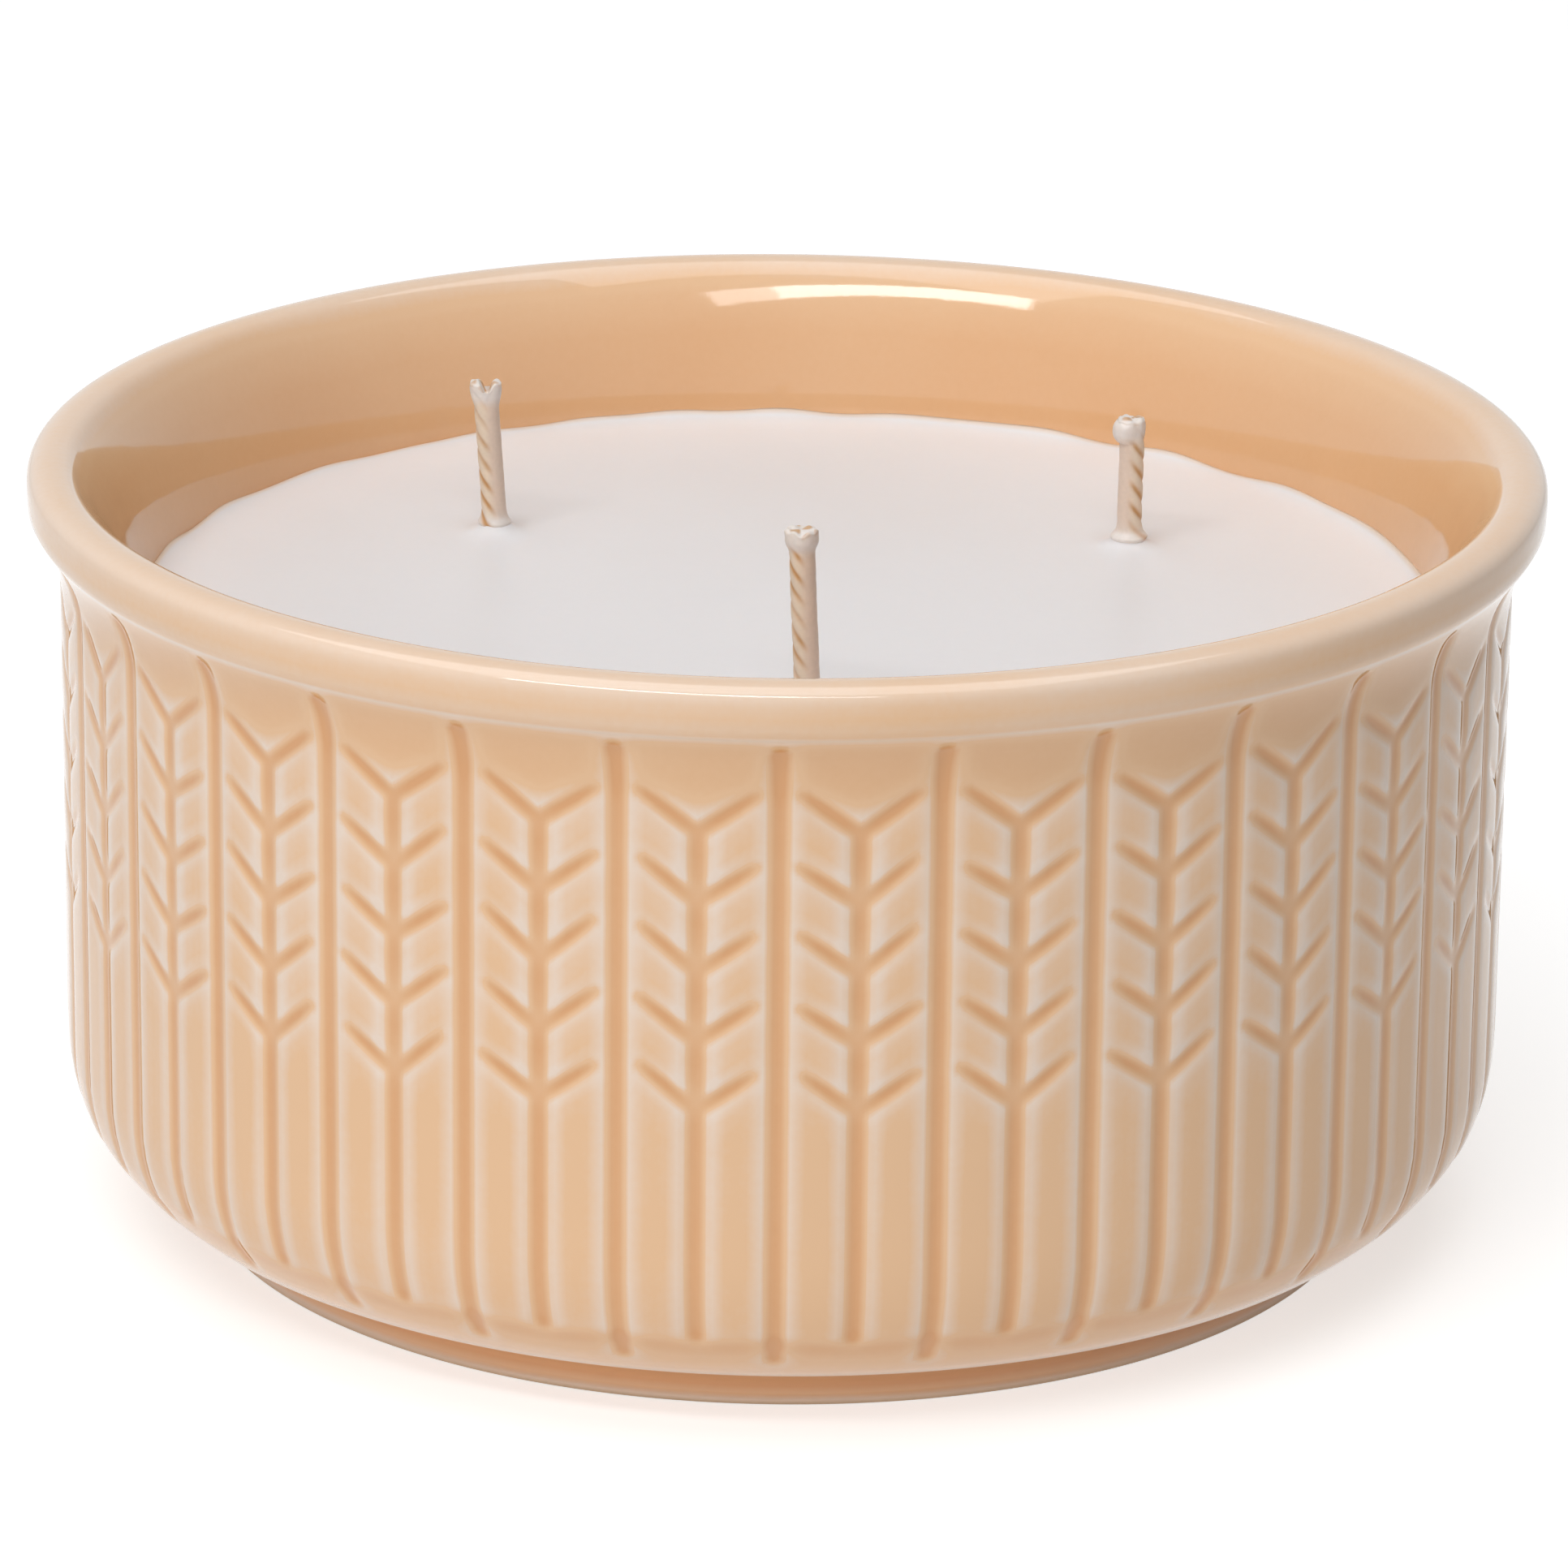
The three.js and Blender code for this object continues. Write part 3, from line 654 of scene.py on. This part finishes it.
def wave(turn, draw, waves, decay):
    """A sum of sines round the bowl, cos(k t + phase) / k ** decay, in seeded phases, at most 1 high."""
    k = np.arange(1, waves + 1)
    weight = draw.normal(0, 1, waves) / k ** decay
    phase = draw.uniform(0, 2 * math.pi, waves)
    values = (weight * np.cos(turn[..., None] * k + phase)).sum(-1)
    return values / np.abs(values).max()


def build_wax(settings, material):
    """The wax: a disc of rings whose height is level + meniscus * exp(-distance / reach) round each wick
    and + climb(turn) * exp(-distance / reach) at the wall, closed by a side and a bottom."""
    s, w = settings.bowl, settings.wax
    level = wax_level()
    gap, sunk = 0.05 * MM, 0.06 * MM
    turns = full_turn(480)
    climb = w.edge_climb * (0.5 + 0.5 * wave(turns, np.random.default_rng(11), 40, 0.55))
    reach = float(inner_radius(s, level))
    # Rings close together where the wicks stand, and at the wall
    inner = np.concatenate([np.arange(2.5, 26.6, 2.2), np.arange(27, 42, 0.42), np.arange(43, 56, 1.6)])
    last = np.array([3.2, 2.2, 1.5, 1.0, 0.7, 0.5, 0.35, 0.22, 0.1])
    radius = np.repeat(np.concatenate([inner * MM, reach - last * MM])[:, None], len(turns), 1)
    flat = on_bowl(radius, level, turns)
    x, y = flat[..., 0], flat[..., 1]
    lift = climb * np.exp(-np.maximum(reach - radius, 0) / w.edge_reach)
    for wick_x, wick_y in map(wick_foot, WICK_SIDES):
        away = np.hypot(x - wick_x, y - wick_y) - settings.wick.thickness / 2
        lift += w.meniscus_height * np.exp(-np.maximum(away, 0) / w.meniscus_reach)
    lift += 0.12 * MM * np.sin(x / (17 * MM) + 1) * np.cos(y / (14 * MM))
    top = flat + lift[..., None] * [0, 0, 1]
    brim = on_bowl(inner_radius(s, level + climb) + sunk, level + climb, turns)[None]
    floor = s.foot_hollow + s.floor_thickness + gap
    start = floor + s.inner_corner_rise
    corner = start - s.inner_corner_rise * np.sin(np.radians(np.linspace(0, 90, 12)))
    heights = np.concatenate([np.linspace(level - 1 * MM, start, 12), corner[1:]])[:, None]
    sides = on_bowl(inner_radius(s, heights) - gap, heights, turns)
    bottom = on_bowl(np.array([[30], [12]]) * MM, floor, turns)
    grid = np.concatenate([top, brim, sides, bottom])[::-1]
    points, faces = closed(grid, [0, 0, floor], [0, 0, level])
    inward = inner_radius(s, grid[..., 2]) - np.hypot(grid[..., 0], grid[..., 1])
    film = np.append(1 - ease(0, 0.6 * MM, inward), [0, 0])
    return new_piece("wax_fill", points, faces, {"film": film}, material, "wax")


# The wicks

# Seed, lean of the tip, notch in the tip, and collar of wax round the foot of each wick
WICK_WAYS = {
    "left": (3, -0.95 * MM, 1.25 * MM, 0.1 * MM),
    "right": (5, 0.12 * MM, 0.15 * MM, 0.3 * MM),
    "front": (8, -0.85 * MM, 0.2 * MM, 0.05 * MM),
}

# Height of the spread tip, and of the rough cap that closes it
TIP = 3.0 * MM
CAP = 0.45 * MM


def tip_shape(side, turn, part, size):
    """How a tip spreads by turn and by part of its height, from 0 under it to 1 at its end, times size.
    The left tip is split across its middle, the right one bulges to its left, the front one is round."""
    across = np.sin(turn)
    if side == "left":
        return size * ease(0, 0.9, part) * (0.15 + 0.85 * across ** 2)
    if side == "right":
        bulge = np.sqrt(np.clip(1 - ((part - 0.6) / 0.42) ** 2, 0, 1))
        return size * (1.9 * bulge * ease(-0.4, 0.9, -across) + 0.1 * ease(0.3, 0.9, part))
    return size * ease(0.25, 0.72, part)


def build_wick(side, settings, material):
    """A wick: circles of radius thickness / 2 - furrow * (0.5 + 0.5 cos(strands * (turn + 2 pi z / lead)))
    ** 3 along a middle line that leans from the wax up to the tip, spread at the tip and closed by a
    rough cap. The box of the CAD's wick gives its ends."""
    w = settings.wick
    low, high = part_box(f"wick_{side}")
    x, y = wick_foot(side)
    level, top = wax_level(), high.z
    seed, lean, notch, collar = WICK_WAYS[side]
    draw = np.random.default_rng(seed)
    heights = np.concatenate([np.linspace(low.z, level - 1 * MM, 16)[:-1],
                              np.linspace(level - 1 * MM, top - TIP, 130)[:-1],
                              np.linspace(top - TIP, top - CAP, 44)])
    dome = np.radians(np.linspace(0, 84, 16))[1:]
    height = np.append(heights, np.full(len(dome), heights[-1]))[:, None]
    shrink = np.append(np.ones(len(heights)), np.cos(dome) ** 0.8)[:, None]
    rise = np.append(np.zeros(len(heights)), np.sin(dome) ** 0.7 * 0.4 * MM)[:, None]
    turns = full_turn(64)
    turn = np.repeat(turns[None], len(height), 0)
    over = height - level
    part = np.clip((height - (top - TIP)) / (TIP - CAP), 0, 1)

    # The twist, half hidden by the coat of wax on one side
    coat_side = np.cos(turn - math.radians(-80 if side == "right" else 80))
    coat = ease(-0.25, 0.55, coat_side)
    drift = wave(height[:, 0] / (top - level) * math.pi, draw, 9, 0.4)[:, None]
    phase = w.strands * (turn + 2 * math.pi * height / w.lead)
    furrow = (0.5 + 0.5 * np.cos(phase + 0.35 * drift)) ** 3
    radius = w.thickness / 2 - 0.02 * MM + 0.03 * MM * drift * coat_side
    radius -= w.furrow * furrow * (1 - 0.85 * coat)

    # The spread tip, and the wax that widens round the foot
    radius += tip_shape(side, turn, part, w.tip_radius - w.thickness / 2)
    radius += 0.05 * MM * wave(turns, draw, 9, 0.3) * ease(0.3, 1, part)
    flare = np.exp(-np.maximum(over - 1.1 * MM, 0) / (0.5 * MM)) * (over > -1 * MM)
    radius += 0.3 * MM * flare + collar * np.exp(-((over - 1.1 * MM) / (0.45 * MM)) ** 2)
    radius *= shrink

    # The middle line, and the cap with its notch
    middle = x + lean * np.clip(over / (top - level), 0, 1)
    px, py = middle + radius * np.sin(turn), y - radius * np.cos(turn)
    in_cap = ease(0.75, 1, part)
    split = np.exp(-((px - middle - 0.1 * MM) / (0.42 * MM)) ** 2)
    rough = 0.1 * MM * np.sin(px / (0.21 * MM) + 1) * np.cos(py / (0.26 * MM))
    pz = height + rise + (rough - notch * split) * in_cap
    pz -= in_cap * (pz.max() - top + 0.03 * MM)
    grid = np.stack([px, py, pz], -1)
    points, faces = closed(grid, [x, y, low.z], grid[-1].mean(0))

    # Where the furrows' brown lines and the beads of clear wax show
    line = furrow ** 0.8 * (1 - coat) * (0.35 + 0.65 * ease(-0.6, 0.5, drift)) * (1 - ease(0.15, 0.6, part))
    ends = ease(0.35, 0.8, np.sin(px / (0.34 * MM) + 2) * np.sin(py / (0.3 * MM) + 4 * drift) + 0.35)
    line = np.maximum(line, 0.9 * ends * ease(0.9, 1, part) * (1 - shrink ** 4 * 0.7))
    foot_wax = 0.9 * np.exp(-np.maximum(over - 1.5 * MM, 0) / (0.5 * MM))
    bead = np.repeat(np.maximum(0.85 * ease(0.1, 0.6, part), foot_wax), len(turns), 1)
    attributes = {"line": np.append(line, [0, 1]), "coat": np.append(coat, [0, 0]),
                  "bead": np.append(bead, [0, 1])}
    return new_piece(f"twisted_wick_{side}", points, faces, attributes, material,
                     f"wick_{side}")


# Materials

def new_material(name):
    """A node material, with its tree and its Principled BSDF."""
    material = bpy.data.materials.new(name)
    material.use_nodes = True
    return material, material.node_tree, material.node_tree.nodes["Principled BSDF"]


def settle(node, values):
    """Sets a node's own inputs."""
    for name, value in values.items():
        node.inputs[name].default_value = value


def mottle_group():
    """Soft clouds and fine specks over Object coordinates, as one mask round 0.5."""
    group = bpy.data.node_groups.new("mottle", "ShaderNodeTree")
    for name, default in (("Cloud Scale", 40), ("Speck Scale", 900), ("Speck Share", 0.3)):
        socket = group.interface.new_socket(name, in_out="INPUT", socket_type="NodeSocketFloat")
        socket.default_value = default
    group.interface.new_socket("Mask", in_out="OUTPUT", socket_type="NodeSocketFloat")
    nodes, links = group.nodes, group.links
    given, put = nodes.new("NodeGroupInput"), nodes.new("NodeGroupOutput")
    where, mix = nodes.new("ShaderNodeTexCoord"), nodes.new("ShaderNodeMix")
    for kind, detail, fed in (("Cloud Scale", 3, 2), ("Speck Scale", 1, 3)):
        noise = nodes.new("ShaderNodeTexNoise")
        settle(noise, {"Detail": detail})
        links.new(where.outputs["Object"], noise.inputs["Vector"])
        links.new(given.outputs[kind], noise.inputs["Scale"])
        links.new(noise.outputs["Fac"], mix.inputs[fed])
    links.new(given.outputs["Speck Share"], mix.inputs[0])
    links.new(mix.outputs[0], put.inputs["Mask"])
    return group


def place_mottle(tree, clouds, specks, speck_share):
    """The mask of the one mottle group in a material, with that material's own scales."""
    node = tree.nodes.new("ShaderNodeGroup")
    node.node_tree = bpy.data.node_groups.get("mottle") or mottle_group()
    settle(node, {"Cloud Scale": clouds, "Speck Scale": specks, "Speck Share": speck_share})
    return node.outputs["Mask"]


def remap(tree, source, low, high, to_low, to_high):
    """A Map Range node on a value, held at its ends."""
    node = tree.nodes.new("ShaderNodeMapRange")
    settle(node, {"From Min": low, "From Max": high, "To Min": to_low, "To Max": to_high})
    tree.links.new(source, node.inputs["Value"])
    return node.outputs["Result"]


def over_mask(tree, mask, low, high):
    """A value that goes from low to high over the mottle's mask."""
    return remap(tree, mask, 0.3, 0.7, low, high)


def read_attribute(tree, name):
    """The value of a mesh attribute."""
    node = tree.nodes.new("ShaderNodeAttribute")
    node.attribute_name = name
    return node.outputs["Fac"]


def mix_colour(tree, factor, a, b, blend="MIX"):
    """A colour mix; a and b are sockets or linear RGB, and factor is a socket or a number."""
    node = tree.nodes.new("ShaderNodeMix")
    node.data_type, node.blend_type = "RGBA", blend
    for value, socket in ((factor, node.inputs[0]), (a, node.inputs[6]), (b, node.inputs[7])):
        if isinstance(value, bpy.types.NodeSocket):
            tree.links.new(value, socket)
        else:
            socket.default_value = value if isinstance(value, float) else (*value, 1)
    return node.outputs[2]


def sink_light(shader, weight, radius, depth):
    """Lets light sink a little into wax."""
    settle(shader, {"IOR": 1.44, "Subsurface Weight": weight, "Subsurface Radius": radius,
                    "Subsurface Scale": depth})


def glaze_material(colours):
    """Glossy glaze: pale where it is thin, saturated where it pools and where shade and bounce light are
    painted, over bare clay on the foot's land.
    Seen in a reflection it mirrors nothing more, because the many reflections along the inner wall would
    run out and leave dark specks."""
    material, tree, shader = new_material("stoneware_glaze")
    link, given = tree.links.new, shader.inputs
    mask = place_mottle(tree, 45, 1400, 0.2)
    total = tree.nodes.new("ShaderNodeMath")
    link(read_attribute(tree, "glaze"), total.inputs[0])
    link(over_mask(tree, mask, -0.05, 0.05), total.inputs[1])
    thin = remap(tree, total.outputs[0], -0.3, -0.03, 1, 0)
    # Deep colour where glaze pools, where shade is painted into hollows and where bounce light is painted
    # inside.
    deep = remap(tree, total.outputs[0], 0.03, 0.45, 0, 1)
    base = mix_colour(tree, thin, colours.even, colours.thin)
    base = mix_colour(tree, deep, base, colours.deep)
    bare = read_attribute(tree, "bare")
    clay = mix_colour(tree, 1.0, colours.clay, over_mask(tree, mask, 0.85, 1), "MULTIPLY")
    link(mix_colour(tree, bare, base, clay), given["Base Color"])
    rough = tree.nodes.new("ShaderNodeMix")
    rough.inputs[3].default_value = 0.9
    link(bare, rough.inputs[0])
    link(over_mask(tree, mask, 0.045, 0.075), rough.inputs[2])
    link(rough.outputs[0], given["Roughness"])
    ripple = tree.nodes.new("ShaderNodeBump")
    settle(ripple, {"Strength": 0.03, "Distance": 0.4 * MM})
    link(mask, ripple.inputs["Height"])
    link(ripple.outputs["Normal"], given["Normal"])
    settle(shader, {"IOR": 1.52})
    path = tree.nodes.new("ShaderNodeLightPath")
    link(remap(tree, path.outputs["Glossy Depth"], 0, 1, 0.5, 0), given["Specular IOR Level"])
    return material


def wax_material(colours):
    """Smooth poured wax, a little see-through, with faint clouds and the glaze showing through its edge."""
    material, tree, shader = new_material("poured_wax")
    mask = place_mottle(tree, 30, 1100, 0.2)
    base = mix_colour(tree, read_attribute(tree, "film"), colours.tone, colours.film)
    shade = mix_colour(tree, 1.0, base, over_mask(tree, mask, 0.96, 1), "MULTIPLY")
    tree.links.new(shade, shader.inputs["Base Color"])
    tree.links.new(over_mask(tree, mask, 0.32, 0.42), shader.inputs["Roughness"])
    sink_light(shader, 0.25, (1.0, 0.8, 0.7), 3 * MM)
    return material


def wick_material(w):
    """Cotton seen through wax, golden brown in its furrows and paler where the wax is thicker."""
    material, tree, shader = new_material("waxed_cotton_cord")
    mask = place_mottle(tree, 500, 2600, 0.4)
    base = w.cotton
    for name, tone in (("coat", w.coat), ("bead", w.bead), ("line", w.dye)):
        base = mix_colour(tree, read_attribute(tree, name), base, tone)
    shade = mix_colour(tree, 1.0, base, over_mask(tree, mask, 0.9, 1), "MULTIPLY")
    tree.links.new(shade, shader.inputs["Base Color"])
    rough = remap(tree, read_attribute(tree, "coat"), 0, 1, 0.5, 0.32)
    tree.links.new(rough, shader.inputs["Roughness"])
    sink_light(shader, 0.2, (1.0, 0.8, 0.6), 0.8 * MM)
    return material


def tin_material(tone):
    """Rolled tin plate with a satin face."""
    material, tree, shader = new_material("rolled_tin")
    mask = place_mottle(tree, 300, 2400, 0.5)
    settle(shader, {"Base Color": (*tone, 1), "Metallic": 1})
    tree.links.new(over_mask(tree, mask, 0.28, 0.42), shader.inputs["Roughness"])
    return material


def foam_material(tone):
    """Fine matt foam."""
    material, tree, shader = new_material("sticker_foam")
    mask = place_mottle(tree, 900, 3200, 0.6)
    shade = mix_colour(tree, 1.0, tone, over_mask(tree, mask, 0.88, 1), "MULTIPLY")
    tree.links.new(shade, shader.inputs["Base Color"])
    settle(shader, {"Roughness": 0.85})
    return material


# Operators

class CANDLE_OT_throw_bowl(bpy.types.Operator):
    """Builds the glazed bowl with its relief."""

    bl_idname = "candle.throw_bowl"
    bl_label = "Throw Bowl"

    def execute(self, context):
        settings = context.scene.bowl_candle
        build_bowl(settings, glaze_material(settings.glaze))
        return {"FINISHED"}


class CANDLE_OT_pour_wax(bpy.types.Operator):
    """Builds the wax with its menisci and wavy edge."""

    bl_idname = "candle.pour_wax"
    bl_label = "Pour Wax"

    def execute(self, context):
        settings = context.scene.bowl_candle
        build_wax(settings, wax_material(settings.wax))
        return {"FINISHED"}


class CANDLE_OT_twist_wicks(bpy.types.Operator):
    """Builds the three twisted wicks with their spread tips."""

    bl_idname = "candle.twist_wicks"
    bl_label = "Twist Wicks"

    def execute(self, context):
        settings = context.scene.bowl_candle
        material = wick_material(settings.wick)
        for side in WICK_SIDES:
            build_wick(side, settings, material)
        return {"FINISHED"}


class CANDLE_OT_dress_tabs(bpy.types.Operator):
    """Gives the tabs and their stickers, which are the CAD's own, their materials."""

    bl_idname = "candle.dress_tabs"
    bl_label = "Dress Tabs"

    def execute(self, context):
        tones = context.scene.bowl_candle.hardware
        tin = tin_material(tones.tin)
        foam = foam_material(tones.foam)
        for side in WICK_SIDES:
            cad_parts[f"wick_sustainer_{side}"].material_slots[0].material = tin
            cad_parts[f"wick_sticker_{side}"].material_slots[0].material = foam
        return {"FINISHED"}


class CANDLE_OT_set_stage(bpy.types.Operator):
    """Sets the floor, the lights, the surroundings and the camera."""

    bl_idname = "candle.set_stage"
    bl_label = "Set Stage"

    def execute(self, context):
        levels = context.scene.bowl_candle.stage
        build_floor(levels)
        build_lights(levels)
        build_world()
        build_camera()
        context.scene.view_settings.view_transform = "Standard"
        return {"FINISHED"}


# Stage

def seen_white(tree):
    """1 for rays from the camera, mirror rays and rays through glass, 0 for those that light the candle."""
    path = tree.nodes.new("ShaderNodeLightPath")
    total = path.outputs["Is Camera Ray"]
    for kind in ("Is Glossy Ray", "Is Transmission Ray"):
        either = tree.nodes.new("ShaderNodeMath")
        either.operation = "MAXIMUM"
        tree.links.new(total, either.inputs[0])
        tree.links.new(path.outputs[kind], either.inputs[1])
        total = either.outputs[0]
    return total


def build_floor(levels):
    """A pale floor that keeps the candle's shadow and is white beyond it."""
    half = 3.0
    mesh = bpy.data.meshes.new("studio_floor")
    corners = [(-half, -half, 0), (half, -half, 0), (half, half, 0), (-half, half, 0)]
    mesh.from_pydata(corners, [], [(0, 1, 2, 3)])
    material, tree, shader = new_material("studio_paper")
    settle(shader, {"Base Color": (levels.paper, levels.paper, levels.paper, 1), "Roughness": 0.9,
                    "Emission Color": WHITE})
    glow = remap(tree, seen_white(tree), 0, 1, levels.floor_glow, levels.floor_white)
    tree.links.new(glow, shader.inputs["Emission Strength"])
    mesh.materials.append(material)
    add_object("studio_floor", mesh)


def soft_box(name, centre, target, width, height, strength):
    """A rectangular lamp of an even radiance, turned to a target."""
    lamp = bpy.data.lights.new(name, "AREA")
    lamp.shape, lamp.size, lamp.size_y = "RECTANGLE", width, height
    lamp.energy = strength * width * height * math.pi
    box = add_object(name, lamp)
    box.location = centre
    box.rotation_euler = (Vector(target) - Vector(centre)).to_track_quat("-Z", "Y").to_euler()
    return box


def build_lights(levels):
    """A crisp strip high at the camera's left, which is weaker at its right end, a broad ceiling, and a low
    broad lamp at the camera's left that isn't mirrored."""
    middle, target = Vector((-0.49, -1.53, 2.03)), Vector((0, 0, 0.07))
    right = (target - middle).cross(Vector((0, 0, 1))).normalized()
    strip = soft_box("strip_lamp", middle, target, 1.65, 0.3, levels.strip)
    strip.location = middle - 0.2 * right
    end = soft_box("strip_end", middle, target, 0.48, 0.3, 0.45 * levels.strip)
    end.location = middle + 0.865 * right
    soft_box("ceiling_lamp", (-0.1, 0, 1.1), (-0.1, 0, 0), 1.3, 1.1, levels.ceiling)
    front = soft_box("front_lamp", (-0.6, -1.33, 0.37), (0, 0, 0.04), 1.5, 0.7, levels.front)
    front.visible_glossy = False


def build_world():
    """Surroundings that light nothing, and are white where the camera or a mirror sees them."""
    world = bpy.data.worlds.new("studio_surroundings")
    bpy.context.scene.world = world
    world.use_nodes = True
    tree = world.node_tree
    background = tree.nodes["Background"]
    settle(background, {"Color": WHITE})
    tree.links.new(seen_white(tree), background.inputs["Strength"])


# The photograph's camera, worked out from the bowl's outline
CAMERA_DISTANCE = 0.7892
CAMERA_HEIGHT_OF_AIM = 0.03956
CAMERA_ELEVATION = math.radians(18.98)
CAMERA_TURN = math.radians(0.297)
CAMERA_ROLL = math.radians(0.622)
CAMERA_LENS = 193.77


def build_camera():
    """A long lens at the photograph's place, rolled a little about its own axis."""
    camera = bpy.data.cameras.new("photo_camera")
    camera.lens, camera.sensor_width = CAMERA_LENS, 36
    camera.clip_start, camera.clip_end = 0.05, 20
    holder = add_object("photo_camera", camera)
    aim = Matrix.Translation((0, 0, CAMERA_HEIGHT_OF_AIM))
    turn = Matrix.Rotation(CAMERA_TURN, 4, "Z")
    tilt = Matrix.Rotation(math.pi / 2 - CAMERA_ELEVATION, 4, "X")
    roll = Matrix.Rotation(CAMERA_ROLL, 4, "Z")
    holder.matrix_world = aim @ turn @ tilt @ Matrix.Translation((0, 0, CAMERA_DISTANCE)) @ roll
    bpy.context.scene.camera = holder


class CANDLE_PT_panel(bpy.types.Panel):
    """Lists the steps that dress the candle."""

    bl_label = "Bowl Candle"
    bl_idname = "CANDLE_PT_panel"
    bl_space_type = "VIEW_3D"
    bl_region_type = "UI"
    bl_category = "Candle"

    def draw(self, context):
        for step in STEPS:
            self.layout.operator(step.bl_idname)


STEPS = (CANDLE_OT_throw_bowl, CANDLE_OT_pour_wax, CANDLE_OT_twist_wicks, CANDLE_OT_dress_tabs,
         CANDLE_OT_set_stage)
CLASSES = (BowlSizes, ReliefSizes, GlazeColours, WaxSettings, WickSettings, HardwareColours, StageSettings,
           CandleSettings, *STEPS, CANDLE_PT_panel)


def register():
    for kind in CLASSES:
        bpy.utils.register_class(kind)
    bpy.types.Scene.bowl_candle = PointerProperty(type=CandleSettings)


def unregister():
    del bpy.types.Scene.bowl_candle
    for kind in reversed(CLASSES):
        bpy.utils.unregister_class(kind)


def main():
    """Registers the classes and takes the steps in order."""
    register()
    bpy.ops.candle.throw_bowl()
    bpy.ops.candle.pour_wax()
    bpy.ops.candle.twist_wicks()
    bpy.ops.candle.dress_tabs()
    bpy.ops.candle.set_stage()


if __name__ == "__main__":
    main()
